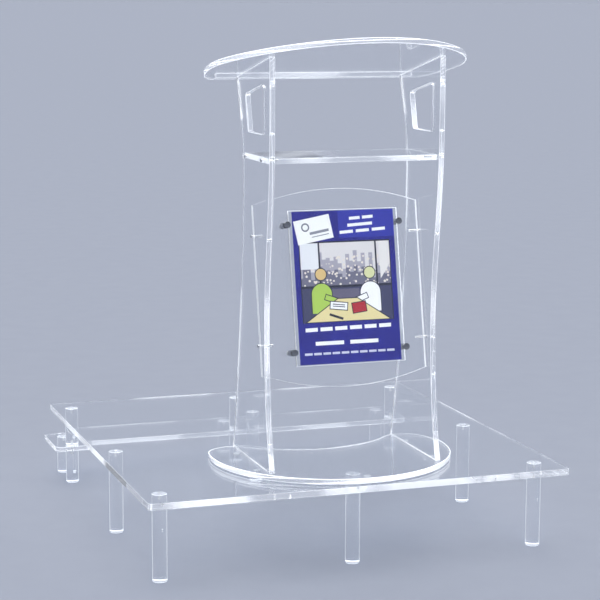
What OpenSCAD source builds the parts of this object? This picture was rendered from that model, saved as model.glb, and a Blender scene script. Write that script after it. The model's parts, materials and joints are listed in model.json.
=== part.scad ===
// Clear acrylic presentation lectern standing on its own low platform with a rear step.
// The audience is on the -Y side, the speaker stands on the platform on the +Y side.
// Origin: on the floor, under the middle of the whole object. +Z is up.

/* [Platform deck] */
// Width of the deck sheet, side to side
deck_w = 1210; // [900:10:1500]
// Depth of the deck sheet, front to back
deck_d = 1280; // [1050:10:1600]
// Thickness of the deck sheet
deck_t = 18; // [15:1:30]
// Height of the deck's top face above the floor
deck_h = 245; // [200:5:320]
// Radius of the deck's corners
deck_corner_r = 12; // [2:1:40]

/* [Platform legs] */
// Diameter of the round legs
leg_d = 40; // [25:1:60]
// Distance from the deck's side edge to the outer legs' axes
leg_side_inset = 58; // [40:1:120]
// Distance from the deck's front edge to the front row of legs
front_row_inset = 113; // [40:1:200]
// Distance from the deck's front edge to the pair of legs at mid depth
middle_row_inset = 609; // [400:1:760]
// Distance from the deck's front edge to the single leg under the speaker
inner_leg_inset = 993; // [800:1:1010]
// Distance from the deck's back edge to the back row of legs
back_row_inset = 64; // [40:1:120]
// Diameter of the threaded studs in the leg ends
stud_d = 6; // [4:1:10]
// Depth of a stud in the deck or the tread
stud_in_sheet = 10; // [6:1:12]
// Depth of a stud in a leg
stud_in_leg = 15; // [10:1:30]

/* [Rear step] */
// Width of the step's tread
tread_w = 1210; // [900:10:1500]
// Depth of the tread, part of which lies under the deck
tread_d = 200; // [160:5:280]
// Thickness of the tread sheet
tread_t = 15; // [12:1:25]
// Height of the tread's top face above the floor
tread_h = 122; // [100:1:150]
// Radius of the tread's corners
tread_corner_r = 20; // [2:1:30]
// Distance from the tread's long edges to its rows of legs
tread_leg_inset = 32; // [28:1:45]

/* [Lectern sheets] */
// Sideways place of the lectern on the deck
lectern_shift_x = 18; // [-60:1:60]
// Distance from the deck's front edge back to the flanks' front feet
lectern_setback = 136; // [130:1:400]
// Thickness of the base, flank, desk, shelf and front sheets
sheet_t = 15; // [12:1:20]
// Clear width between the two flanks
inner_w = 471; // [400:1:520]

/* [Lectern base] */
// Width of base plate left around the flanks' front corners
base_margin = 12; // [4:1:40]
// Distance from the flanks' front feet back to the centre of that round front
base_centre_y = 222; // [205:1:260]
// Radius of the hollow in the base plate's back edge
notch_r = 290; // [240:1:340]
// Distance from the flanks' front feet back to the deepest point of the hollow
notch_y = 238; // [190:1:300]
// Radius of the two rounded lobes beside the hollow
lobe_r = 80; // [60:1:95]
// Diameter of the clear pads under the base plate
pad_d = 20; // [12:1:30]
// Thickness of the clear pads
pad_t = 3; // [2:0.5:5]
// Distance of the pads from the base plate's rim to their centres
pad_inset = 40; // [20:1:70]

/* [Flanks] */
// Height of the flanks' front edge above the base plate
flank_h = 1121; // [900:1:1400]
// Depth of the flanks at the foot
foot_d = 344; // [300:1:400]
// How far the front edge is drawn in at the waist
waist_in = 48; // [20:1:70]
// Height of the waist above the base plate
waist_h = 400; // [300:1:480]
// Distance below the top at which the front edge straightens
shoulder_drop = 221; // [180:1:300]
// How far the straight upper front edge stands behind the front foot
top_front_in = 4; // [0:1:20]
// Distance from the front foot back to the narrow neck of the back edge
neck_y = 243; // [220:1:270]
// Distance of the neck below the top
neck_drop = 321; // [280:1:380]
// Depth of the flanks at the top
top_d = 297; // [270:1:340]
// Width of material left around the hand window
window_rim = 60; // [45:1:70]
// Radius of the hand window's corners
window_r = 12; // [4:1:20]

/* [Desk] */
// Slope of the desk, high at the front
desk_tilt = 12; // [5:0.5:20]
// Overall width of the desk
desk_w = 726; // [640:1:900]
// Reach of the curved front beyond the flanks' front top corners
desk_front = 193; // [120:1:260]
// Reach of the straight low edge behind the same corners
desk_back = 353; // [330:1:420]
// Distance behind the same corners of the desk's widest line
desk_waist = 170; // [120:1:220]
// Length of the straight low edge
desk_straight = 600; // [500:1:630]
// Height of the document stop above the desk's face
stop_h = 15; // [8:1:30]
// Thickness of the document stop
stop_t = 15; // [6:1:20]

/* [Shelf] */
// Distance from the flanks' front top corners down to the shelf's top face
shelf_drop = 268; // [220:1:300]
// Distance from the front foot back to the shelf's front edge
shelf_front_y = 22; // [15:1:50]
// Depth of the shelf
shelf_d = 217; // [170:1:220]
// Distance from the shelf's front edge to its front screws
shelf_screw_front = 50; // [20:1:70]
// Distance from the shelf's back edge to its back screws
shelf_screw_back = 18; // [12:1:50]

/* [Front panel] */
// Lean of the front panel, its top towards the speaker
panel_lean = 11.3; // [5:0.1:14]
// Distance from the flanks' front top corners down to the panel's middle
panel_drop = 639; // [600:1:700]
// Distance from the front foot back to the panel's middle
panel_y = 127; // [115:1:140]
// Length of the panel's straight sides
panel_side_h = 470; // [400:1:480]
// Rise of the curved top and bottom edges
panel_rise = 40; // [10:1:50]
// Distance of the panel's side screws above and below its middle
panel_screw_z = 150; // [80:1:200]

/* [Poster holder] */
// Width of the poster sheet
poster_w = 297; // [210:1:300]
// Height of the poster sheet
poster_h = 420; // [297:1:420]
// Thickness of the poster sheet
poster_t = 0.6; // [0.3:0.1:1.5]
// Width of the two clear plates
plate_w = 318; // [310:1:380]
// Height of the two clear plates
plate_h = 426; // [420:1:460]
// Thickness of each clear plate
plate_t = 4; // [3:0.5:6]
// Diameter of the standoff barrels and caps
barrel_d = 18; // [14:1:25]
// Length of the standoff barrels
barrel_l = 30; // [26:1:45]
// Distance of the standoffs above and below the plates' middle
standoff_z = 175; // [100:1:200]
// Thickness of the standoff caps
cap_t = 5; // [3:0.5:8]
// Diameter of the screws in the standoff barrels
cap_stud_d = 8; // [6:1:8]
// Depth of a cap's screw in its barrel
cap_stud_in = 12; // [8:1:16]

/* [Screws] */
// Diameter of the screws through the flanks
screw_d = 6; // [4:1:8]
// Diameter of the screw heads
screw_head_d = 10; // [9:1:14]
// Thickness of the screw heads
screw_head_t = 4; // [3:0.5:6]
// Diameter of the larger screw heads behind the standoffs
barrel_head_d = 14; // [12:1:18]
// Depth of the screws in the sheet edges
screw_in = 25; // [15:1:40]

/* [Clearances] */
// Radial clearance of a screw in a plain hole
hole_clear = 0.2; // [0.1:0.05:0.5]
// Radial clearance of a cap's screw in its barrel
thread_clear = 0.05; // [0.02:0.01:0.1]
// Gap between a plate's side edge and a cap's screw
edge_clear = 0.3; // [0.1:0.1:1]
// Gap in front of the poster sheet, behind the front plate
poster_clear = 0.1; // [0.05:0.05:0.5]

/* [Hidden] */
$fn = 64;

clear = [0.80, 0.87, 0.95, 0.45];
chrome = [0.80, 0.81, 0.83];
steel = [0.62, 0.64, 0.67];
print_blue = [0.13, 0.12, 0.52];
soft_clear = [0.88, 0.90, 0.92, 0.7];

// Heights above the floor
deck_under = deck_h - deck_t;
tread_under = tread_h - tread_t;
base_z = deck_h + pad_t;
flank_z = base_z + sheet_t;
flank_top_z = flank_z + flank_h;
shelf_z = flank_top_z - shelf_drop - sheet_t;
panel_z = flank_top_z - panel_drop;

// The whole object's reach in front of and behind the flanks' front feet
desk_front_y = top_front_in - desk_front * cos(desk_tilt);
deck_back_y = deck_d - lectern_setback;
back_row_y = deck_back_y - back_row_inset;
tread_near_y = back_row_y - tread_leg_inset;
tread_far_y = tread_near_y + tread_d;
object_front = min(desk_front_y, -lectern_setback);
object_back = max(tread_far_y, deck_back_y);
foot_y = -(object_front + object_back) / 2;
deck_front_y = foot_y - lectern_setback;

// Leg rows, left to right and front to back
leg_x = deck_w / 2 - leg_side_inset;
columns = [-leg_x, 0, leg_x];
front_row = deck_front_y + front_row_inset;
middle_row = deck_front_y + middle_row_inset;
inner_row = deck_front_y + inner_leg_inset;
back_row = foot_y + back_row_y;
step_row = foot_y + tread_far_y - tread_leg_inset;

// Flanks and what is screwed between them
outer_w = inner_w + 2 * sheet_t;
base_r = norm([outer_w / 2, base_centre_y]) + base_margin;
top_back_y = top_front_in + top_d;
top_back_z = flank_h - top_d * tan(desk_tilt);
shelf_screw_y = [shelf_front_y + shelf_screw_front, shelf_front_y + shelf_d - shelf_screw_back];

// Poster holder, measured out from the panel's middle plane
barrel_front = sheet_t / 2 + barrel_l;
poster_back = barrel_front + plate_t;
front_plate_back = poster_back + poster_t + poster_clear;
cap_back = front_plate_back + plate_t;
standoff_x = plate_w / 2 + edge_clear + cap_stud_d / 2;
barrel_screw_in = barrel_l - cap_stud_in - 2;
socket_d = 4;
socket_depth = 2.5;
dome_rise = 1.2;

// Steps in one curve of an outline
curve_steps = 16;

function bezier(a, b, c, d) = [
    for (i = [0 : curve_steps - 1])
        let (t = i / curve_steps, s = 1 - t)
            s * s * s * a + 3 * s * s * t * b + 3 * s * t * t * c + t * t * t * d
];

// Corner i of a closed outline, rounded with radius r
function rounded_corner(pts, i, r) =
    let (
        n = len(pts),
        p = pts[i],
        u = (pts[(i + n - 1) % n] - p) / norm(pts[(i + n - 1) % n] - p),
        v = (pts[(i + 1) % n] - p) / norm(pts[(i + 1) % n] - p),
        half = acos(u * v) / 2,
        centre = p + (u + v) / norm(u + v) * r / sin(half),
        a = p + u * r / tan(half) - centre,
        b = p + v * r / tan(half) - centre,
        steps = 6
    )
    [for (k = [0 : steps])
        let (t = k / steps, w = 90 - half, m = (a + b) / norm(a + b))
            centre + r * (m * cos((2 * t - 1) * w) + (b - a) / norm(b - a) * sin((2 * t - 1) * w))];

function rounded(pts, r) = [for (i = [0 : len(pts) - 1]) each rounded_corner(pts, i, r)];

// ---------- Frames of the tilted parts ----------

module at_lectern() translate([lectern_shift_x, foot_y, 0]) children();

module at_desk()
    at_lectern() translate([0, top_front_in, flank_top_z]) rotate([-desk_tilt, 0, 0]) children();

module at_panel()
    at_lectern() translate([0, panel_y, panel_z]) rotate([-panel_lean, 0, 0]) children();

// A side profile drawn as [back, up], made into a sheet standing across X
module side_sheet(x, t) translate([x, 0, 0]) rotate([90, 0, 90]) linear_extrude(t) children();

// A solid of revolution along -Y, its base at y = 0
module towards_audience() rotate([90, 0, 0]) children();

// ---------- Platform ----------

module corner_sheet(w, d, t, r)
    linear_extrude(t) union() {
        translate([-w / 2, r]) square([w, d - 2 * r]);
        translate([-w / 2 + r, 0]) square([w - 2 * r, d]);
        for (x = [-1, 1], y = [r, d - r]) translate([x * (w / 2 - r), y]) circle(r);
    }

module leg_at(x, y, low, high, bottom_hole = false)
    color(clear) translate([x, y, low]) difference() {
        cylinder(d = leg_d, h = high - low);
        translate([0, 0, high - low - stud_in_leg]) cylinder(d = stud_d, h = stud_in_leg + 1);
        if (bottom_hole) translate([0, 0, -1]) cylinder(d = stud_d, h = stud_in_leg + 1);
    }

module deck_leg(column, row) leg_at(columns[column], row, 0, deck_under);
module upper_leg(column) leg_at(columns[column], back_row, tread_h, deck_under, true);
module lower_leg(column) leg_at(columns[column], back_row, 0, tread_under);
module step_leg(column) leg_at(columns[column], step_row, 0, tread_under);

// Where a leg stands under the deck
deck_leg_places = [
    for (x = columns) [x, front_row],
    [columns[0], middle_row],
    [columns[2], middle_row],
    [0, inner_row],
    for (x = columns) [x, back_row]
];

module stud(x, y, low, high) translate([x, y, low]) cylinder(d = stud_d, h = high - low);

module deck_studs()
    color(steel) for (p = deck_leg_places) stud(p[0], p[1], deck_under - stud_in_leg, deck_under + stud_in_sheet);

module tread_studs()
    color(steel) for (x = columns) stud(x, back_row, tread_under - stud_in_leg, tread_h + stud_in_leg);

module step_studs()
    color(steel) for (x = columns) stud(x, step_row, tread_under - stud_in_leg, tread_under + stud_in_sheet);

module platform_deck()
    color(clear) difference() {
        translate([0, deck_front_y, deck_under]) corner_sheet(deck_w, deck_d, deck_t, deck_corner_r);
        for (p = deck_leg_places) stud(p[0], p[1], deck_under - 1, deck_under + stud_in_sheet);
    }

module step_tread()
    color(clear) difference() {
        translate([0, foot_y + tread_near_y, tread_under])
            corner_sheet(tread_w, tread_d, tread_t, tread_corner_r);
        for (x = columns) stud(x, back_row, tread_under - 1, tread_h + 1);
        for (x = columns) stud(x, step_row, tread_under - 1, tread_under + stud_in_sheet);
    }

// ---------- Lectern base ----------

// The lobe circle touches the round front from inside and the hollow from outside
notch_centre_y = notch_y + notch_r;
centre_gap = notch_centre_y - base_centre_y;
lobe_off = ((base_r - lobe_r) ^ 2 - (notch_r + lobe_r) ^ 2 + centre_gap ^ 2) / (2 * centre_gap);
lobe_x = sqrt((base_r - lobe_r) ^ 2 - lobe_off ^ 2);
lobe_y = base_centre_y + lobe_off;

// Everything of the round base that lies beyond one lobe's circle
module lobe_tip(side) {
    lobe = [side * lobe_x, lobe_y];
    outward = (lobe - [0, base_centre_y]) / norm(lobe - [0, base_centre_y]);
    inward = ([0, notch_centre_y] - lobe) / norm([0, notch_centre_y] - lobe);
    reach = 3 * lobe_r;
    polygon([lobe, lobe + outward * reach, lobe + (outward + inward) * reach, lobe + inward * reach]);
}

module base_plate()
    color(clear) at_lectern() translate([0, 0, base_z]) linear_extrude(sheet_t) union() {
        difference() {
            translate([0, base_centre_y]) circle(base_r, $fn = 128);
            translate([0, notch_centre_y]) circle(notch_r, $fn = 128);
            for (side = [-1, 1]) lobe_tip(side);
        }
        for (side = [-1, 1]) translate([side * lobe_x, lobe_y]) circle(lobe_r);
    }

module base_pads() {
    reach = base_r - pad_inset;
    places = [
        for (a = [210, 270, 330]) [reach * cos(a), base_centre_y + reach * sin(a)],
        for (side = [-1, 1]) [side * lobe_x, lobe_y]
    ];
    color(soft_clear) at_lectern() for (p = places) translate([p[0], p[1], deck_h]) cylinder(d = pad_d, h = pad_t);
}

// ---------- Flanks ----------

// Front edge: foot, drawn-in waist, straight top. Back edge: flared top, neck, flared foot.
module flank_outline() {
    shoulder_z = flank_h - shoulder_drop;
    neck_z = flank_h - neck_drop;
    slack_z = shoulder_z - waist_h;
    polygon(concat(
        bezier([0, 0], [waist_in * 0.73, waist_h * 0.3], [waist_in, waist_h * 0.65], [waist_in, waist_h]),
        bezier([waist_in, waist_h], [waist_in, waist_h + slack_z * 0.32],
            [top_front_in, shoulder_z - slack_z * 0.36], [top_front_in, shoulder_z]),
        [[top_front_in, shoulder_z], [top_front_in, flank_h]],
        bezier([top_back_y, top_back_z], [top_back_y - 29, top_back_z - 86],
            [neck_y, neck_z + 90], [neck_y, neck_z]),
        bezier([neck_y, neck_z], [neck_y, neck_z * 0.7],
            [foot_d - 44, neck_z * 0.2], [foot_d, 0]),
        [[foot_d, 0]]
    ));
}

// Hand window: the flank's upper part drawn in by the rim on all four sides
module window_outline() {
    low_z = flank_h - shelf_drop + window_rim;
    front_y = window_rim;
    back_top_y = top_back_y - window_rim - 19;
    back_low_y = back_top_y - 26;
    roof = flank_h - window_rim;
    polygon(rounded([
        [front_y, low_z],
        [back_low_y, low_z],
        [back_top_y, roof - (back_top_y - top_front_in) * tan(desk_tilt)],
        [front_y, roof - (front_y - top_front_in) * tan(desk_tilt)]
    ], window_r));
}

// Holes through a flank for the shelf's and the panel's screws
module flank_holes(x) {
    r = screw_d / 2 + hole_clear;
    translate([x - 1, 0, 0]) {
        for (y = shelf_screw_y) translate([0, y, shelf_z + sheet_t / 2])
            rotate([0, 90, 0]) cylinder(r = r, h = sheet_t + 2);
        translate([0, panel_y, panel_z]) rotate([-panel_lean, 0, 0])
            for (z = [-1, 1] * panel_screw_z) translate([0, 0, z])
                rotate([0, 90, 0]) cylinder(r = r, h = sheet_t + 2);
    }
}

module flank(x)
    color(clear) at_lectern() difference() {
        translate([0, 0, flank_z]) side_sheet(x, sheet_t) difference() {
            flank_outline();
            window_outline();
        }
        flank_holes(x);
    }

module left_flank() flank(-outer_w / 2);
module right_flank() flank(inner_w / 2);

// ---------- Desk ----------

// Right half of the desk's outline, from the middle of the high front to the low edge
function desk_half() = concat(
    bezier([0, -desk_front], [desk_w * 0.26, -desk_front], [desk_w / 2, desk_waist - 150], [desk_w / 2, desk_waist]),
    bezier([desk_w / 2, desk_waist], [desk_w / 2, desk_waist + (desk_back - desk_waist) * 0.5],
        [desk_w / 2 - 23, desk_back], [desk_straight / 2, desk_back]),
    [[desk_straight / 2, desk_back]]
);

module desk_top() {
    half = desk_half();
    mirrored = [for (i = [len(half) - 1 : -1 : 1]) [-half[i][0], half[i][1]]];
    color(clear) at_desk() linear_extrude(sheet_t) polygon(concat(half, mirrored));
}

module document_stop()
    color(clear) at_desk() translate([-desk_straight / 2, desk_back - stop_t, sheet_t])
        cube([desk_straight, stop_t, stop_h]);

// ---------- Shelf ----------

// A screw along X from outside one flank into the edge between the flanks; side is -1 or 1
module edge_screw(side)
    translate([side * (inner_w / 2 - screw_in), 0, 0]) rotate([0, side * 90, 0]) {
        cylinder(d = screw_d, h = screw_in + sheet_t);
        translate([0, 0, screw_in + sheet_t]) difference() {
            cylinder(d = screw_head_d, h = screw_head_t);
            translate([0, 0, screw_head_t - socket_depth]) cylinder(d = socket_d, h = socket_depth + 1, $fn = 6);
        }
    }

module edge_hole(side)
    translate([side * (inner_w / 2 - screw_in), 0, 0]) rotate([0, side * 90, 0])
        cylinder(d = screw_d, h = screw_in + 1);

module shelf()
    color(clear) at_lectern() difference() {
        translate([-inner_w / 2, shelf_front_y, shelf_z]) cube([inner_w, shelf_d, sheet_t]);
        for (side = [-1, 1], y = shelf_screw_y) translate([0, y, shelf_z + sheet_t / 2]) edge_hole(side);
    }

module shelf_screws()
    color(steel) at_lectern()
        for (side = [-1, 1], y = shelf_screw_y) translate([0, y, shelf_z + sheet_t / 2]) edge_screw(side);

// ---------- Front panel ----------

// Straight sides, and one shallow arc across the top and one across the bottom
module panel_outline() {
    half_w = inner_w / 2;
    arc_r = (half_w ^ 2 + panel_rise ^ 2) / (2 * panel_rise);
    side = panel_side_h / 2;
    intersection() {
        square([inner_w, panel_side_h + 2 * panel_rise], center = true);
        translate([0, side + panel_rise - arc_r]) circle(arc_r, $fn = 128);
        translate([0, arc_r - side - panel_rise]) circle(arc_r, $fn = 128);
    }
}

module front_panel()
    color(clear) at_panel() difference() {
        translate([0, sheet_t / 2, 0]) rotate([90, 0, 0]) linear_extrude(sheet_t) panel_outline();
        for (side = [-1, 1], z = [-1, 1] * panel_screw_z) translate([0, 0, z]) edge_hole(side);
        for (x = [-1, 1] * standoff_x, z = [-1, 1] * standoff_z) translate([x, sheet_t / 2 + 1, z])
            towards_audience() cylinder(r = cap_stud_d / 2 + hole_clear, h = sheet_t + 2);
    }

module panel_screws()
    color(steel) at_panel() for (side = [-1, 1], z = [-1, 1] * panel_screw_z) translate([0, 0, z]) edge_screw(side);

// ---------- Poster holder ----------

module standoff_barrels()
    color(chrome) at_panel() for (x = [-1, 1] * standoff_x, z = [-1, 1] * standoff_z)
        translate([x, -sheet_t / 2, z]) towards_audience() difference() {
            cylinder(d = barrel_d, h = barrel_l);
            translate([0, 0, -1]) cylinder(r = cap_stud_d / 2 + thread_clear, h = barrel_l + 2);
        }

// Screws from the speaker's side of the panel into the barrels
module barrel_screws()
    color(steel) at_panel() for (x = [-1, 1] * standoff_x, z = [-1, 1] * standoff_z)
        translate([x, sheet_t / 2, z]) towards_audience() {
            cylinder(d = cap_stud_d, h = sheet_t + barrel_screw_in);
            translate([0, 0, -screw_head_t]) difference() {
                cylinder(d = barrel_head_d, h = screw_head_t);
                translate([0, 0, -1]) cylinder(d = socket_d, h = socket_depth + 1, $fn = 6);
            }
        }

module holder_plate(back, w, h, t) translate([-w / 2, -back - t, -h / 2]) cube([w, t, h]);

module poster_back_plate() color(clear) at_panel() holder_plate(barrel_front, plate_w, plate_h, plate_t);
module poster_sheet() color(print_blue) at_panel() holder_plate(poster_back, poster_w, poster_h, poster_t);
module poster_front_plate() color(clear) at_panel() holder_plate(front_plate_back, plate_w, plate_h, plate_t);

// Domed cap whose rim grips the plates' side edges, with its screw beside them
module cap(side, level) {
    stem = 2 * plate_t + poster_t + poster_clear + cap_stud_in;
    dome_r = ((barrel_d / 2) ^ 2 + dome_rise ^ 2) / (2 * dome_rise);
    color(chrome) at_panel() translate([side * standoff_x, -cap_back, level * standoff_z])
        towards_audience() difference() {
            union() {
                intersection() {
                    cylinder(d = barrel_d, h = cap_t);
                    translate([0, 0, cap_t - dome_r]) sphere(dome_r);
                }
                translate([0, 0, -stem]) cylinder(d = cap_stud_d, h = stem);
            }
            translate([0, 0, cap_t - socket_depth]) cylinder(d = socket_d, h = socket_depth + 1, $fn = 6);
        }
}

module upper_left_cap() cap(-1, 1);
module upper_right_cap() cap(1, 1);
module lower_left_cap() cap(-1, -1);
module lower_right_cap() cap(1, -1);

platform_deck();
deck_leg(0, front_row);  // front_left_leg
deck_leg(1, front_row);  // front_centre_leg
deck_leg(2, front_row);  // front_right_leg
deck_leg(0, middle_row);  // middle_left_leg
deck_leg(2, middle_row);  // middle_right_leg
deck_leg(1, inner_row);  // inner_leg
upper_leg(0);  // back_left_upper_leg
upper_leg(1);  // back_centre_upper_leg
upper_leg(2);  // back_right_upper_leg
lower_leg(0);  // back_left_lower_leg
lower_leg(1);  // back_centre_lower_leg
lower_leg(2);  // back_right_lower_leg
step_leg(0);  // step_left_leg
step_leg(1);  // step_centre_leg
step_leg(2);  // step_right_leg
deck_studs();
tread_studs();
step_studs();
step_tread();
base_pads();
base_plate();
left_flank();
right_flank();
desk_top();
document_stop();
shelf();
shelf_screws();
front_panel();
panel_screws();
standoff_barrels();
barrel_screws();
poster_back_plate();
poster_sheet();
poster_front_plate();
upper_left_cap();
upper_right_cap();
lower_left_cap();
lower_right_cap();
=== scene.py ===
import json
from math import asin, cos, pi, radians, sin

import bmesh
import bpy
from mathutils import Matrix, Vector


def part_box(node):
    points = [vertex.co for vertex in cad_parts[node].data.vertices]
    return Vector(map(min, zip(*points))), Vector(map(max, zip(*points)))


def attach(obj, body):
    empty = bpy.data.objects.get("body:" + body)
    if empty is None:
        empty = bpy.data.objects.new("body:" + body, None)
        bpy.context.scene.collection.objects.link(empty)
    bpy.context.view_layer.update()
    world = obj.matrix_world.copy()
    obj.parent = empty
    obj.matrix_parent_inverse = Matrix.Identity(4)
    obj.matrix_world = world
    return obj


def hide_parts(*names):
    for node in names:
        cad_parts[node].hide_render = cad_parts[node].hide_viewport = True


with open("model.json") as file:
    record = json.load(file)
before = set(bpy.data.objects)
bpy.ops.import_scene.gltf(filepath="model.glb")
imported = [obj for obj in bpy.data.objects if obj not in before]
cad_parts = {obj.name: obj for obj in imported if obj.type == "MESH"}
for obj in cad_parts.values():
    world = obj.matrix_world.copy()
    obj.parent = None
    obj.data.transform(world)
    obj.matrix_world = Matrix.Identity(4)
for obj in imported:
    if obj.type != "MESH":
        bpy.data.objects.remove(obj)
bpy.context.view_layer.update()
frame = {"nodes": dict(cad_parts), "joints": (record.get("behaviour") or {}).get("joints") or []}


# ---------- Camera ----------
# A long lens a little above the desk's height, five metres in front of the lectern and to its left.
# It looks slightly down, so that the whole platform and its rear step are in view.

camera = bpy.data.objects.new("camera", bpy.data.cameras.new("camera"))
bpy.context.scene.collection.objects.link(camera)
camera.data.lens = 113.0
camera.data.sensor_width = 36.0
camera.data.shift_y = -0.0111
camera.data.clip_end = 2000
camera_place = (-1.7671, -5.2539, 1.5377)
camera_turn, camera_dip, camera_roll = radians(18.93), radians(8.92), radians(0.22)
camera.matrix_world = (
    Matrix.Translation(camera_place)
    @ Matrix.Rotation(-camera_turn, 4, "Z")
    @ Matrix.Rotation(pi / 2 - camera_dip, 4, "X")
    @ Matrix.Rotation(camera_roll, 4, "Z")
)
bpy.context.scene.camera = camera


# ---------- Studio ----------
# A plain pale matt floor that runs out to the horizon. The low sky has the floor's tone, so that broad clear faces
# show only by their edges. Above it are a darker band, a bright zenith and three wide distant lamps.

class Shade:
    """One socket of a material. Sums and comparisons add Math nodes, and node() adds any other node."""

    def __init__(self, tree, socket=None):
        self.tree = tree
        self.socket = socket

    def node(self, kind, settings=(), inputs=(), output=0):
        made = self.tree.nodes.new("ShaderNode" + kind)
        for name, value in dict(settings).items():
            if name == "stops":
                ramp = made.color_ramp
                while len(ramp.elements) < len(value):
                    ramp.elements.new(1.0)
                for element, (place, colour) in zip(ramp.elements, value):
                    element.position = place
                    element.color = (*colour, 1)
            else:
                setattr(made, name, value)
        for name, value in dict(inputs).items():
            if isinstance(value, Shade):
                self.tree.links.new(value.socket, made.inputs[name])
            else:
                made.inputs[name].default_value = value
        return Shade(self.tree, made.outputs[output] if len(made.outputs) else None)

    def math(self, operation, *terms):
        return self.node("Math", {"operation": operation}, enumerate(terms))

    def __add__(self, other):
        return self.math("ADD", self, other)

    def __radd__(self, other):
        return self.math("ADD", other, self)

    def __sub__(self, other):
        return self.math("SUBTRACT", self, other)

    def __rsub__(self, other):
        return self.math("SUBTRACT", other, self)

    def __mul__(self, other):
        return self.math("MULTIPLY", self, other)

    def __rmul__(self, other):
        return self.math("MULTIPLY", other, self)

    def __truediv__(self, other):
        return self.math("DIVIDE", self, other)

    def __gt__(self, other):
        return self.math("GREATER_THAN", self, other)

    def __lt__(self, other):
        return self.math("LESS_THAN", self, other)

    def axes(self):
        """The three numbers of a place."""
        outputs = self.node("SeparateXYZ", {}, {"Vector": self}).socket.node.outputs
        return [Shade(self.tree, outputs[i]) for i in range(3)]

    def painted(self, colour, mask):
        """This colour, with another one over it where the mask is 1."""
        return self.node("Mix", {"data_type": "RGBA"}, {0: mask, 6: self, 7: colour}, output=2)


def new_finish(name):
    """An empty material and its first Shade."""
    finish = bpy.data.materials.new(name)
    finish.use_nodes = True
    finish.node_tree.nodes.clear()
    return finish, Shade(finish.node_tree)


def link_piece(name, mesh):
    """An object for a mesh, in the scene and at the origin."""
    piece = bpy.data.objects.new(name, mesh)
    bpy.context.scene.collection.objects.link(piece)
    return piece


floor_paint, start = new_finish("pale_floor")
place = start.node("TexCoord", output="Object")
grain = start.node("TexNoise", {}, {"Vector": place, "Scale": 9.0, "Detail": 4.0})
floor_stops = [(0.3, (0.272, 0.290, 0.340)), (0.7, (0.280, 0.298, 0.348))]
floor_tone = start.node("ValToRGB", {"stops": floor_stops}, {"Fac": grain})
matt = start.node("BsdfPrincipled", {}, {"Base Color": floor_tone, "Roughness": 0.95, "Specular IOR Level": 0.1})
start.node("OutputMaterial", {}, {"Surface": matt})
floor_reach = 600
floor_mesh = bpy.data.meshes.new("floor")
floor_mesh.from_pydata(
    [(x * floor_reach, y * floor_reach, 0) for x, y in ((-1, -1), (1, -1), (1, 1), (-1, 1))],
    [],
    [(0, 1, 2, 3)],
)
floor_mesh.materials.append(floor_paint)
floor = link_piece("floor", floor_mesh)

world = bpy.data.worlds.new("soft_studio")
bpy.context.scene.world = world
world.use_nodes = True
world.node_tree.nodes.clear()
sky = Shade(world.node_tree)
height_in_sky = sky.node("TexCoord", output="Generated").axes()[2]
low_tone, band_tone, zenith_tone = (0.4125, 0.449, 0.5465), (0.19, 0.205, 0.24), (1.9, 1.95, 2.04)
sky_stops = [(0.44, low_tone), (0.54, band_tone), (0.74, band_tone), (0.84, zenith_tone)]
sky_tone = sky.node("ValToRGB", {"stops": sky_stops}, {"Fac": height_in_sky})
sky.node("OutputWorld", {}, {"Surface": sky.node("Background", {}, {"Color": sky_tone, "Strength": 1.0})})


def add_lamp(name, place, spread, strength):
    """A distant lamp that shines from a place towards the origin. It is spread degrees wide in the sky, and lights
    the whole floor alike."""
    lamp = bpy.data.objects.new(name, bpy.data.lights.new(name, "SUN"))
    bpy.context.scene.collection.objects.link(lamp)
    lamp.data.angle = radians(spread)
    lamp.data.energy = strength
    lamp.location = place
    lamp.rotation_euler = (-Vector(place)).to_track_quat("-Z", "Y").to_euler()


add_lamp("key_lamp", (-1.6, -4.2, 4.2), 36, 1.3)
add_lamp("fill_lamp", (1.7, -0.9, 5.0), 40, 0.4)
add_lamp("back_lamp", (0.4, 1.9, 5.0), 46, 0.7)

bounces = bpy.context.scene.cycles
bounces.max_bounces = 32
bounces.glossy_bounces = 24
bounces.transmission_bounces = 28
bounces.transparent_max_bounces = 64
bpy.context.scene.view_settings.view_transform = "Standard"


# ---------- Legs ----------
# Solid clear acrylic rod, turned square at both ends, with a small chamfer and a blind hole for a stud.
# The back row is in two lengths, one on each side of the step's tread.

acrylic_index = 1.49


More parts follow.
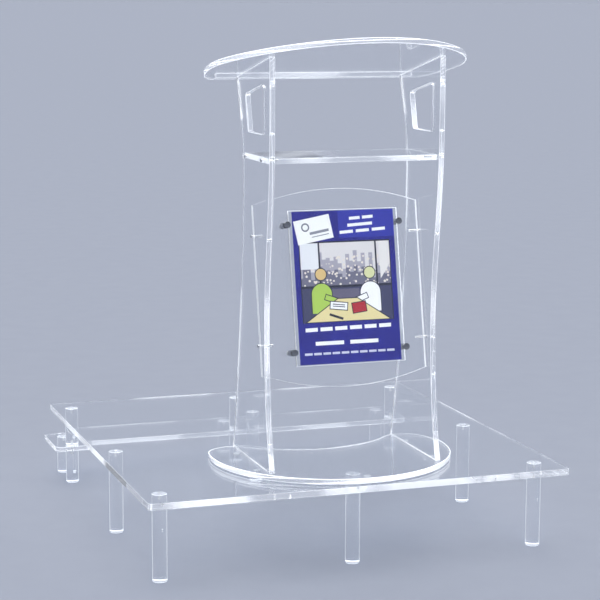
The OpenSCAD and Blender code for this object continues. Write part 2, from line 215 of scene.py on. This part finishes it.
def clear_finish(name, haze, shadow, rim=0.0, painted_glow=0.0, highlight_patches=0.0):
    """Clear acrylic. haze is the share of its surface that scatters light, and rim is a painted sheen, which the skin
    adds to that where it is seen edge on. shadow is what lamps pass through it, and painted_glow is painted light:
    emission on the scattering skin in place of light piped out of a cut edge. highlight_patches is a painted
    highlight: haze added in random patches along the edge."""
    finish, start = new_finish(name)
    place = start.node("TexCoord", output="Object")
    smears = start.node("TexNoise", {}, {"Vector": place, "Scale": 7.0, "Detail": 4.0})
    ripple = start.node("TexNoise", {}, {"Vector": place, "Scale": 3.0, "Detail": 1.0})
    specks = start.node("TexVoronoi", {"feature": "F1"}, {"Vector": place, "Scale": 240.0, "Randomness": 1.0})
    speck_size, dusty_from, dust_haze = 0.10, 0.52, 0.08
    dust = (specks < speck_size) * (smears > dusty_from) * dust_haze
    wave = start.node("Bump", {}, {"Strength": 0.04, "Distance": 0.002, "Height": ripple})
    clear = start.node(
        "BsdfPrincipled",
        {},
        {
            "Base Color": (0.985, 0.993, 1.0, 1),
            "Roughness": smears * 0.02,
            "IOR": acrylic_index,
            "Transmission Weight": 1.0,
            "Normal": wave,
        },
    )
    # The scattering skin also emits light: a painted glow, in place of light piped out through the cut edge.
    scatter_with_painted_glow = start.node(
        "BsdfPrincipled",
        {},
        {
            "Base Color": (0.95, 0.97, 1.0, 1),
            "Roughness": 0.6,
            "Specular IOR Level": 0.2,
            "Emission Color": (0.93, 0.96, 1.0, 1),
            "Emission Strength": painted_glow,
        },
    )
    uneven = 0.7 + 0.6 * smears
    skin = dust + haze * uneven
    # Painted highlight: more haze in random bright patches along the edge.
    if highlight_patches:
        highlight_noise = start.node("TexNoise", {}, {"Vector": place, "Scale": 3.4, "Detail": 0.0})
        painted_highlight = start.node("ValToRGB", {"stops": [(0.52, (0, 0, 0)), (0.62, (1, 1, 1))]}, {"Fac": highlight_noise})
        skin = skin + highlight_patches * painted_highlight
    # Painted sheen: more haze where the surface is seen edge on.
    if rim:
        edge_on = start.node("LayerWeight", {}, {"Blend": 0.5}, output="Facing")
        skin = skin + rim * edge_on * edge_on * edge_on * edge_on
    seen = start.node("MixShader", {}, {0: skin, 1: clear, 2: scatter_with_painted_glow})
    lamps = start.node("LightPath", output="Is Shadow Ray")
    passed = start.node("BsdfTransparent", {}, {"Color": (*shadow, 1)})
    surface = start.node("MixShader", {}, {0: lamps, 1: seen, 2: passed})
    start.node("OutputMaterial", {}, {"Surface": surface})
    return finish


cut_shadow = (0.80, 0.84, 0.90)
# The rod's side carries a painted sheen where seen edge on, and all three rod finishes a painted glow.
rod_finishes = [
    clear_finish("clear_rod", 0.005, (0.86, 0.89, 0.94), rim=0.90, painted_glow=0.6),
    clear_finish("turned_rod_end", 0.22, cut_shadow, painted_glow=0.5),
    clear_finish("turned_arris", 0.85, cut_shadow, painted_glow=0.9),
]
side_look, end_look, arris_look = range(3)


def turned(name, centre, profile, finishes, finish_of=lambda a, b: 0, segments=72):
    """A closed solid of revolution about a vertical line, from a profile of radius and height."""
    verts, faces, looks, rings = [], [], [], []
    for r, z in profile:
        if r == 0:
            rings.append([len(verts)])
            verts.append((centre[0], centre[1], z))
        else:
            rings.append(list(range(len(verts), len(verts) + segments)))
            verts += [
                (centre[0] + r * cos(2 * pi * i / segments), centre[1] + r * sin(2 * pi * i / segments), z)
                for i in range(segments)
            ]
    for k in range(len(profile) - 1):
        low, high = rings[k], rings[k + 1]
        for i in range(segments):
            j = (i + 1) % segments
            face = [low[i % len(low)], low[j % len(low)], high[j % len(high)], high[i % len(high)]]
            faces.append(list(dict.fromkeys(face)))
            looks.append(finish_of(profile[k], profile[k + 1]))
    mesh = bpy.data.meshes.new(name)
    mesh.from_pydata(verts, [], faces)
    for finish in finishes:
        mesh.materials.append(finish)
    mesh.polygons.foreach_set("material_index", looks)
    mesh.polygons.foreach_set("use_smooth", [True] * len(faces))
    mesh.set_sharp_from_angle(angle=radians(30))
    mesh.update()
    return link_piece(name, mesh)


stud_hole_r, hole_depth, chamfer = 0.0031, 0.015, 0.0012
seat_gap, floor_gap = 0.00012, 0.0005


def rod_look(a, b):
    """Which of the rod's finishes lies between two points of its profile. A hole has the look of an end."""
    if a[0] != b[0] and a[1] != b[1]:
        return arris_look
    return side_look if a[0] == b[0] and a[0] > stud_hole_r else end_look


for node in frame["nodes"]:
    if not node.endswith("_leg"):
        continue
    low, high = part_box(node)
    leg_r = (high.x - low.x) / 2
    stands_on_floor = low.z <= 0.01
    foot, head = low.z + (floor_gap if stands_on_floor else seat_gap), high.z - seat_gap
    bottom = [(0, foot), (leg_r - chamfer, foot)]
    if node.endswith("_upper_leg"):
        hole_top = foot + hole_depth
        bottom = [(0, hole_top), (stud_hole_r, hole_top), (stud_hole_r, foot), (leg_r - chamfer, foot)]
    profile = bottom + [
        (leg_r, foot + chamfer),
        (leg_r, head - chamfer),
        (leg_r - chamfer, head),
        (stud_hole_r, head),
        (stud_hole_r, head - hole_depth),
        (0, head - hole_depth),
    ]
    rod = turned(node + "_rod", (low + high) / 2, profile, rod_finishes, rod_look)
    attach(rod, "platform")
    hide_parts(node)


# ---------- Studs ----------
# Lengths of plain steel threaded rod, 15 mm of each in a leg and the rest in the sheet above it.
# The ones at the back edge run through the tread from the lower legs into the upper ones.

def metal_finish(name, colour, roughness, marks_scale, bump=0.1):
    """Metal with faint blotches and fine working marks."""
    finish, start = new_finish(name)
    place = start.node("TexCoord", output="Object")
    blotches = start.node("TexNoise", {}, {"Vector": place, "Scale": 60.0, "Detail": 5.0})
    marks = start.node("TexNoise", {}, {"Vector": place, "Scale": marks_scale, "Detail": 2.0})
    darker = tuple(0.8 * c for c in colour)
    tone = start.node("ValToRGB", {"stops": [(0.3, darker), (0.7, colour)]}, {"Fac": blotches})
    metal = start.node(
        "BsdfPrincipled",
        {},
        {
            "Base Color": tone,
            "Metallic": 1.0,
            "Roughness": roughness * (0.7 + 0.6 * blotches),
            "Normal": start.node("Bump", {}, {"Strength": bump, "Distance": 0.0002, "Height": marks}),
        },
    )
    start.node("OutputMaterial", {}, {"Surface": metal})
    return finish


steel_finish = metal_finish("plain_steel", (0.60, 0.61, 0.63), 0.32, 900.0)


def add_socket(tree, name, kind, in_out="INPUT", value=None):
    """A named input or output of a Geometry Nodes tree. It gives the socket's identifier."""
    socket = tree.interface.new_socket(name, in_out=in_out, socket_type="NodeSocket" + kind)
    if value is not None:
        socket.default_value = value
    return socket.identifier


stud_tree = bpy.data.node_groups.new("threaded_studs", "GeometryNodeTree")
add_socket(stud_tree, "Places", "Geometry")
stud_sizes = {"Core Radius": 0.0026, "Thread Radius": 0.0028, "Length": 0.025, "Pitch": 0.001}
stud_inputs = {name: add_socket(stud_tree, name, "Float", value=size) for name, size in stud_sizes.items()}
steel_input = add_socket(stud_tree, "Steel", "Material")
add_socket(stud_tree, "Studs", "Geometry", "OUTPUT")


def grow(tree, kind, inputs=(), **settings):
    """A Geometry Nodes node with its settings and its values or links."""
    node = tree.nodes.new(kind)
    for name, value in settings.items():
        setattr(node, name, value)
    for name, value in dict(inputs).items():
        if isinstance(value, bpy.types.NodeSocket):
            tree.links.new(value, node.inputs[name])
        else:
            node.inputs[name].default_value = value
    return node


given = grow(stud_tree, "NodeGroupInput").outputs
turns = grow(stud_tree, "ShaderNodeMath", {0: given["Length"], 1: given["Pitch"]}, operation="DIVIDE").outputs[0]
helix = grow(
    stud_tree,
    "GeometryNodeCurveSpiral",
    {
        "Resolution": 20,
        "Rotations": turns,
        "Start Radius": given["Thread Radius"],
        "End Radius": given["Thread Radius"],
        "Height": given["Length"],
    },
).outputs[0]
ridge = grow(stud_tree, "GeometryNodeCurvePrimitiveCircle", {"Resolution": 3, "Radius": 0.00034}).outputs[0]
thread = grow(
    stud_tree, "GeometryNodeCurveToMesh", {"Curve": helix, "Profile Curve": ridge, "Fill Caps": True}
).outputs[0]
core = grow(
    stud_tree,
    "GeometryNodeMeshCylinder",
    {"Vertices": 24, "Radius": given["Core Radius"], "Depth": given["Length"]},
).outputs[0]
half = grow(stud_tree, "ShaderNodeMath", {0: given["Length"], 1: 2.0}, operation="DIVIDE").outputs[0]
lift = grow(stud_tree, "ShaderNodeCombineXYZ", {"Z": half}).outputs[0]
core = grow(stud_tree, "GeometryNodeTransform", {"Geometry": core, "Translation": lift}).outputs[0]
stud = grow(stud_tree, "GeometryNodeJoinGeometry")
for part in (thread, core):
    stud_tree.links.new(part, stud.inputs[0])
placed = grow(stud_tree, "GeometryNodeInstanceOnPoints", {"Points": given["Places"], "Instance": stud.outputs[0]})
solid = grow(stud_tree, "GeometryNodeRealizeInstances", {"Geometry": placed.outputs[0]})
steeled = grow(stud_tree, "GeometryNodeSetMaterial", {"Geometry": solid.outputs[0], "Material": given["Steel"]})
grow(stud_tree, "NodeGroupOutput", {0: steeled.outputs[0]})


def grown(name, places, tree, values):
    """What a Geometry Nodes tree makes at these places, as a plain mesh."""
    seed = bpy.data.meshes.new(name + "_places")
    seed.from_pydata(places, [], [])
    host = link_piece(name + "_host", seed)
    maker = host.modifiers.new("maker", "NODES")
    maker.node_group = tree
    for identifier, value in values.items():
        maker[identifier] = value
    bpy.context.view_layer.update()
    mesh = bpy.data.meshes.new_from_object(host.evaluated_get(bpy.context.evaluated_depsgraph_get()))
    host.modifiers.remove(maker)
    bpy.data.objects.remove(host)
    mesh.name = name
    mesh.polygons.foreach_set("use_smooth", [True] * len(mesh.polygons))
    mesh.set_sharp_from_angle(angle=radians(40))
    return link_piece(name, mesh)


def loose_boxes(node):
    """The lowest and highest corner of each separate solid of a CAD node."""
    bm = bmesh.new()
    bm.from_mesh(frame["nodes"][node].data)
    bmesh.ops.remove_doubles(bm, verts=bm.verts, dist=1e-6)
    left, found = set(bm.verts), []
    while left:
        todo, group = [left.pop()], []
        while todo:
            vert = todo.pop()
            group.append(vert.co.copy())
            for edge in vert.link_edges:
                other = edge.other_vert(vert)
                if other in left:
                    left.remove(other)
                    todo.append(other)
        found.append([Vector([pick(p[i] for p in group) for i in range(3)]) for pick in (min, max)])
    bm.free()
    return sorted(found, key=lambda box: tuple(round(c, 4) for c in box[0]))


end_gap = 0.0003
for node in ("deck_studs", "tread_studs", "step_studs"):
    boxes = loose_boxes(node)
    low, high = boxes[0]
    places = [((a.x + b.x) / 2, (a.y + b.y) / 2, a.z + end_gap) for a, b in boxes]
    values = {stud_inputs["Length"]: high.z - low.z - 2 * end_gap, steel_input: steel_finish}
    studs = grown(node + "_threaded", places, stud_tree, values)
    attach(studs, "platform")
    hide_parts(node)


# ---------- Deck and tread ----------
# Cast acrylic sheet, thick enough to walk on, sawn to size with rounded corners.
# Broad faces stay as cast; the edges are milled and polished, and look whiter because light scatters in them.
# A painted glow and painted highlight patches make them whiter still.

face_finish = clear_finish("cast_face", 0.002, (0.95, 0.965, 0.985))
# The cut edges and arrises below carry a painted glow; the polished edges also carry painted highlight patches.
edge_finish = clear_finish("polished_edge", 0.05, cut_shadow, painted_glow=0.8, highlight_patches=0.38)
arris_finish = clear_finish("eased_arris", 0.85, cut_shadow, painted_glow=0.9)
sheet_finishes = [face_finish, edge_finish, arris_finish]
broad_slot, edge_slot, arris_slot, sawn_slot = range(4)


def eased_copy(node, finishes, arris=0.0013, shrink=seat_gap, angle=35):
    """A copy of a CAD piece, a hair smaller all round so that no two clear faces share a plane, its edges eased.
    Three finishes are for the broad faces, the cut edges and the eased arrises. A fourth is for the edges that
    butt against the flanks."""
    source = frame["nodes"][node].data
    mesh = bpy.data.meshes.new(node + "_eased")
    mesh.from_pydata([v.co for v in source.vertices], [], [list(p.vertices) for p in source.polygons])
    bm = bmesh.new()
    bm.from_mesh(mesh)
    bmesh.ops.remove_doubles(bm, verts=bm.verts, dist=2e-6)
    bmesh.ops.dissolve_limit(bm, angle_limit=radians(0.4), verts=bm.verts, edges=bm.edges)
    bm.normal_update()
    moves = [(vert, vert.normal * vert.calc_shell_factor() * shrink) for vert in bm.verts]
    for vert, move in moves:
        vert.co -= move
    bm.to_mesh(mesh)
    bm.free()
    for finish in finishes:
        mesh.materials.append(finish)
    piece = link_piece(node + "_eased", mesh)
    ease = piece.modifiers.new("eased", "BEVEL")
    ease.width = arris
    ease.segments = 1
    ease.limit_method = "ANGLE"
    ease.angle_limit = radians(angle)
    ease.material = min(arris_slot, len(finishes) - 1)
    bpy.context.view_layer.update()
    eased = bpy.data.meshes.new_from_object(piece.evaluated_get(bpy.context.evaluated_depsgraph_get()))
    piece.modifiers.remove(ease)
    piece.data = eased
    eased.name = node + "_eased"
    if len(finishes) > 1:
        areas, ways = {}, []
        for face in eased.polygons:
            way = tuple(round(abs(c), 1) for c in face.normal)
            ways.append(way)
            areas[way] = areas.get(way, 0) + face.area
        broad = max(areas, key=areas.get)
        for face, way in zip(eased.polygons, ways):
            if face.material_index != arris_slot:
                butted = len(finishes) > sawn_slot and way[0] == 1
                face.material_index = broad_slot if way == broad else sawn_slot if butted else edge_slot
    eased.polygons.foreach_set("use_smooth", [True] * len(eased.polygons))
    eased.set_sharp_from_angle(angle=radians(32))
    eased.update()
    return piece


def fit_copy(node, body, slot, finishes, **options):
    """An eased copy that takes its CAD piece's place on a body."""
    piece = eased_copy(node, finishes, **options)
    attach(piece, body)
    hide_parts(node)


for node in ("platform_deck", "step_tread"):
    fit_copy(node, "platform", "clear_acrylic", sheet_finishes, arris=0.0014)


# ---------- Pads ----------
# Small soft clear pads under the base plate, which keep the lectern from sliding or scratching the deck.
# Each is a low disc with a chamfered rim.

pad_finish, start = new_finish("soft_clear_pad")
cloud = start.node("TexNoise", {}, {"Vector": start.node("TexCoord", output="Object"), "Scale": 300.0})
soft = start.node(
    "BsdfPrincipled",
    {},
    {
        "Base Color": (0.90, 0.93, 0.97, 1),
        "Roughness": 0.3 + 0.2 * cloud,
        "IOR": 1.42,
        "Transmission Weight": 0.6,
    },
)
start.node("OutputMaterial", {}, {"Surface": soft})
rim = 0.0009
joined = bmesh.new()
for low, high in loose_boxes("base_pads"):
    pad_r, under, over = (high.x - low.x) / 2, low.z + seat_gap, high.z - seat_gap
    side_profile = [(pad_r - rim, under), (pad_r, under + rim), (pad_r, over - rim), (pad_r - rim, over)]
    profile = [(0, under), *side_profile, (0, over)]
    pad = turned("base_pad", (low + high) / 2, profile, [pad_finish], segments=48)
    joined.from_mesh(pad.data)
    bpy.data.objects.remove(pad)
pad_mesh = bpy.data.meshes.new("base_pads_moulded")
joined.to_mesh(pad_mesh)
joined.free()
pad_mesh.materials.append(pad_finish)
pads = link_piece("base_pads_moulded", pad_mesh)
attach(pads, "lectern")
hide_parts("base_pads")


# ---------- Base plate ----------
# One sheet with a round front and a hollow back, so that the speaker can stand close.
# Its edge is polished all round.

fit_copy("base_plate", "lectern", "clear_acrylic", sheet_finishes, arris=0.0014, angle=32)


# ---------- Flanks ----------
# Two profiled sheets cemented upright on the base plate, each with a hand window to lift the lectern by.
# Cut and polished like the deck, with the widest eased arrises of all the sheets.

for node in ("left_flank", "right_flank"):
    fit_copy(node, "lectern", "clear_acrylic", sheet_finishes, arris=0.0018)


# ---------- Shelf, front panel and their screws ----------
# Both sheets hang between the flanks on small socket screws driven from outside.
# Their side edges, which butt against the flanks, are left as sawn and look whiter than the polished ones.

# Like the other cut edges, the sawn ones also carry a painted glow.
sawn_finish = clear_finish("sawn_edge", 0.50, cut_shadow, painted_glow=0.8)
hung_finishes = [*sheet_finishes, sawn_finish]
fit_copy("shelf", "lectern", "clear_acrylic", hung_finishes)
fit_copy("front_panel", "lectern", "clear_acrylic", hung_finishes, arris=0.0006)
for node in ("shelf_screws", "panel_screws"):
    fit_copy(node, "lectern", "steel", [steel_finish], arris=0.0003, shrink=0.00005)


# ---------- Desk ----------
# A bow-fronted sheet cemented on the flanks' sloping tops, with a square stop along its low edge.
# The stop keeps papers from sliding off.

for node in ("desk_top", "document_stop"):
    fit_copy(node, "lectern", "clear_acrylic", sheet_finishes)


# ---------- Cement ----------
# The clear cement between flanks, base plate and desk dries with fine bubbles, and shows as a whitish line.
# Each joint has one thin strip of it, set in a little from the flank's edges.

cement_finish, start = new_finish("dried_cement")
place = start.node("TexCoord", output="Object")
bubbles = start.node("TexNoise", {}, {"Vector": place, "Scale": 220.0, "Detail": 3.0})
whiteness = 0.25 + 0.5 * (bubbles > 0.5)
dried = start.node("BsdfPrincipled", {}, {"Base Color": (0.95, 0.97, 1.0, 1), "Roughness": 0.5, "Alpha": whiteness})
start.node("OutputMaterial", {}, {"Surface": dried})
cement_inset, cement_skin = 0.0008, 0.0001
back_lean = 0.6


def cement_strip(name, corners):
    """A thin closed strip of cement over four corners, thickened along its own normal."""
    a, b, c, d = (Vector(p) for p in corners)
    half_skin = (b - a).cross(d - a).normalized() * cement_skin / 2
    verts = [p + way * half_skin for way in (-1, 1) for p in (a, b, c, d)]
    faces = [(3, 2, 1, 0), (4, 5, 6, 7), (0, 1, 5, 4), (1, 2, 6, 5), (2, 3, 7, 6), (3, 0, 4, 7)]
    mesh = bpy.data.meshes.new(name)
    mesh.from_pydata(verts, [], faces)
    mesh.materials.append(cement_finish)
    piece = link_piece(name, mesh)
    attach(piece, "lectern")


for side in ("left", "right"):
    low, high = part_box(side + "_flank")
    x0, x1 = low.x + cement_inset, high.x - cement_inset
    y0, y1 = low.y + cement_inset, high.y - cement_inset
    cement_strip(side + "_foot_cement", [(x0, y0, low.z), (x1, y0, low.z), (x1, y1, low.z), (x0, y1, low.z)])
    # The back end of the sloping top is the corner that lies furthest along a line leaning back.
    corners = [v.co for v in frame["nodes"][side + "_flank"].data.vertices]
    front_top = max(corners, key=lambda p: p.z)
    back_top = max(corners, key=lambda p: p.y * back_lean + p.z)
    slope = back_top - front_top
    slope.x = 0
    slope.normalize()
    p0, p1 = front_top + slope * cement_inset, back_top - slope * cement_inset
    cement_strip(
        side + "_desk_cement", [(x0, p0.y, p0.z), (x1, p0.y, p0.z), (x1, p1.y, p1.z), (x0, p1.y, p1.z)]
    )


# ---------- Poster holder ----------
# Two thin clear plates with the poster between them, gripped at their side edges by chromed brass standoffs.
# Screws from behind the front panel hold the barrels; the domed caps screw in from the front.

# The chrome is given a dark colour: a painted reflection of dark surroundings.
dark_painted_chrome = metal_finish("chrome", (0.32, 0.33, 0.35), 0.10, 500.0, bump=0.03)
fit_copy("poster_back_plate", "lectern", "clear_acrylic", sheet_finishes, arris=0.0003)
fit_copy("poster_front_plate", "front_plate", "clear_acrylic", sheet_finishes, arris=0.0003)
metal_gap = 0.00003
fit_copy("standoff_barrels", "lectern", "chrome", [dark_painted_chrome], arris=0.0006, shrink=metal_gap)
fit_copy("barrel_screws", "lectern", "steel", [steel_finish], arris=0.0004, shrink=metal_gap)
for side in ("upper_left", "upper_right", "lower_left", "lower_right"):
    fit_copy(side + "_cap", side + "_cap", "chrome", [dark_painted_chrome], arris=0.0003, shrink=metal_gap)


# ---------- Poster ----------
# An A3 sheet printed on its front on a deep blue ground: a tilted card with a plain mark, plain bars where words
# would be, and a picture of two people at a table in front of a window. Its back is bare paper.

draw_axis = next(Vector(j["axis"]) for j in frame["joints"] if j["name"] == "poster_draw")
poster_low, poster_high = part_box("poster_sheet")
poster_centre = (poster_low + poster_high) / 2
poster_lean = asin(draw_axis.y)
poster_w = poster_high.x - poster_low.x
poster_h = 0.420
print_finish, start = new_finish("printed_sheet")
place = start.node("TexCoord", output="Object")
flat = start.node(
    "Mapping",
    {"vector_type": "TEXTURE"},
    {"Vector": place, "Location": tuple(poster_centre), "Rotation": (-poster_lean, 0, 0)},
)
across, depth, rise = flat.axes()
u = across / poster_w + 0.5
v = rise / poster_h + 0.5


def within(value, low, high):
    """1 where a value lies between two others."""
    return (value > low) * (value < high)


def block(low_u, high_u, low_v, high_v):
    """A rectangle, in shares of the sheet's width and height."""
    return within(u, low_u, high_u) * within(v, low_v, high_v)


def disc(at_u, at_v, radius):
    """A disc whose radius is in shares of the sheet's width."""
    side, up = (u - at_u), (v - at_v) * (poster_h / poster_w)
    return (side * side + up * up) < radius * radius


def tilted(at_u, at_v, half_w, half_h, turn):
    """A turned rectangle, in shares of the sheet's width."""
    side, up = (u - at_u), (v - at_v) * (poster_h / poster_w)
    along = side * cos(turn) + up * sin(turn)
    over = up * cos(turn) - side * sin(turn)
    return within(along, -half_w, half_w) * within(over, -half_h, half_h)


def words(low_u, high_u, at_v, half_h, pitch, tilt=0.0):
    """A line of plain bars, one for each word."""
    bar_share = 0.82
    beat = start.math("FRACT", (u - low_u) / pitch)
    row = v - (u - low_u) * tilt
    return within(u, low_u, high_u) * within(row, at_v - half_h, at_v + half_h) * (beat < bar_share)


def table(low_v, high_v, far_half_w):
    """A table top that narrows away from the reader."""
    widening = 2.15
    half_w = (high_v - v) * widening + far_half_w
    return within(v, low_v, high_v) * (start.math("ABSOLUTE", u - 0.5) < half_w)


mottle = start.node("TexNoise", {}, {"Vector": place, "Scale": 25.0})
ground_stops = [(0.3, (0.004, 0.004, 0.20)), (0.7, (0.010, 0.012, 0.27))]
blue_ground = start.node("ValToRGB", {"stops": ground_stops}, {"Fac": mottle})
white, cream, green, red = (0.95, 0.96, 0.98, 1), (0.80, 0.70, 0.36, 1), (0.42, 0.62, 0.10, 1), (0.45, 0.015, 0.03, 1)
line_ink, card_ink, bare_paper = (0.012, 0.014, 0.035, 1), (0.25, 0.27, 0.32, 1), (0.80, 0.81, 0.83, 1)
roof_column = start.math("FLOOR", u * 26.0)
roof_height = start.node("TexWhiteNoise", {"noise_dimensions": "1D"}, {"W": roof_column})
street_lights = start.node("TexVoronoi", {"feature": "F1"}, {"Vector": place, "Scale": 95.0, "Randomness": 0.9})


def outlined(shape, grown_shape, tone):
    """A shape in one colour over its dark outline."""
    return [(grown_shape, line_ink), (shape, tone)]


def sitter(at_u, tone, hair, lean):
    """A plain figure from the table up: shoulders, head and one arm reaching over the table."""
    inner, outer, elbow_u, arm_turn = 0.098, 0.106, at_u + lean * 0.115, lean * -0.35
    chest = block(at_u - inner, at_u + inner, 0.33, 0.455)
    chest_line = block(at_u - outer, at_u + outer, 0.33, 0.455)
    arm = tilted(elbow_u, 0.415, 0.085, 0.022, arm_turn)
    arm_line = tilted(elbow_u, 0.415, 0.093, 0.030, arm_turn)
    return [
        *outlined(disc(at_u, 0.455, inner), disc(at_u, 0.455, outer), tone),
        *outlined(chest, chest_line, tone),
        *outlined(disc(at_u, 0.585, 0.052), disc(at_u, 0.585, 0.060), hair),
        *outlined(arm, arm_line, tone),
    ]


window = block(0.06, 0.94, 0.51, 0.79)
card_turn = radians(10)
layers = [
    (block(0.45, 1.0, 0.82, 1.0), (0.018, 0.026, 0.36, 1)),
    (block(0.05, 0.95, 0.27, 0.80), line_ink),
    (window, (0.74, 0.72, 0.72, 1)),
    (window * (v < 0.60 + 0.14 * roof_height), (0.40, 0.39, 0.46, 1)),
    (window * (v < 0.55 + 0.09 * roof_height), (0.16, 0.16, 0.23, 1)),
    (block(0.06, 0.94, 0.51, 0.70) * (street_lights < 0.32), (0.80, 0.74, 0.66, 1)),
    (block(0.06, 0.235, 0.62, 0.79), (0.80, 0.82, 0.85, 1)),
    (block(0.84, 0.94, 0.51, 0.79) * (v > u - 0.30), (0.80, 0.78, 0.76, 1)),
    (block(0.235, 0.252, 0.50, 0.79), line_ink),
    (block(0.795, 0.812, 0.50, 0.79), line_ink),
    (block(0.06, 0.94, 0.495, 0.507), line_ink),
    (block(0.06, 0.94, 0.27, 0.495), (0.045, 0.050, 0.12, 1)),
    (block(0.30, 0.62, 0.38, 0.485), (0.13, 0.12, 0.19, 1)),
    *sitter(0.25, green, (0.72, 0.52, 0.22, 1), 1),
    *sitter(0.73, white, (0.70, 0.72, 0.40, 1), -1),
    (table(0.27, 0.425, 0.10), line_ink),
    (table(0.275, 0.42, 0.095), cream),
    *outlined(tilted(0.41, 0.375, 0.082, 0.032, -0.12), tilted(0.41, 0.375, 0.090, 0.040, -0.12), white),
    (tilted(0.41, 0.383, 0.060, 0.004, -0.12), line_ink),
    (tilted(0.41, 0.370, 0.060, 0.004, -0.12), line_ink),
    *outlined(tilted(0.61, 0.360, 0.065, 0.044, 0.12), tilted(0.61, 0.360, 0.073, 0.052, 0.12), red),
    (tilted(0.38, 0.305, 0.070, 0.011, -0.35), line_ink),
    (words(0.07, 0.93, 0.225, 0.0125, 0.145, 0.01), white),
    (words(0.16, 0.84, 0.135, 0.0125, 0.34), white),
    (words(0.05, 0.95, 0.068, 0.0075, 0.09), (0.62, 0.64, 0.78, 1)),
    (words(0.56, 0.82, 0.945, 0.010, 0.13, 0.04), white),
    (words(0.54, 0.84, 0.900, 0.010, 0.30, 0.04), white),
    (words(0.46, 0.94, 0.855, 0.010, 0.16, 0.04), white),
    (tilted(0.205, 0.880, 0.178, 0.112, card_turn), (0.95, 0.96, 0.94, 1)),
    (tilted(0.26, 0.865, 0.095, 0.012, card_turn), card_ink),
    (tilted(0.27, 0.840, 0.085, 0.004, card_turn), card_ink),
    (disc(0.125, 0.895, 0.040) * (1 - disc(0.125, 0.895, 0.026)), (0.16, 0.17, 0.22, 1)),
]
colour = blue_ground
for mask, tone in layers:
    colour = colour.painted(tone, mask)
colour = colour.painted(bare_paper, depth > 0.0)
fibres = start.node("TexNoise", {}, {"Vector": place, "Scale": 900.0, "Detail": 2.0})
printed = start.node(
    "BsdfPrincipled",
    {},
    {
        "Base Color": colour,
        "Roughness": 0.45 + 0.1 * fibres,
        "Specular IOR Level": 0.25,
        "Normal": start.node("Bump", {}, {"Strength": 0.05, "Distance": 0.0001, "Height": fibres}),
    },
)
start.node("OutputMaterial", {}, {"Surface": printed})
frame["nodes"]["poster_sheet"].material_slots[0].material = print_finish
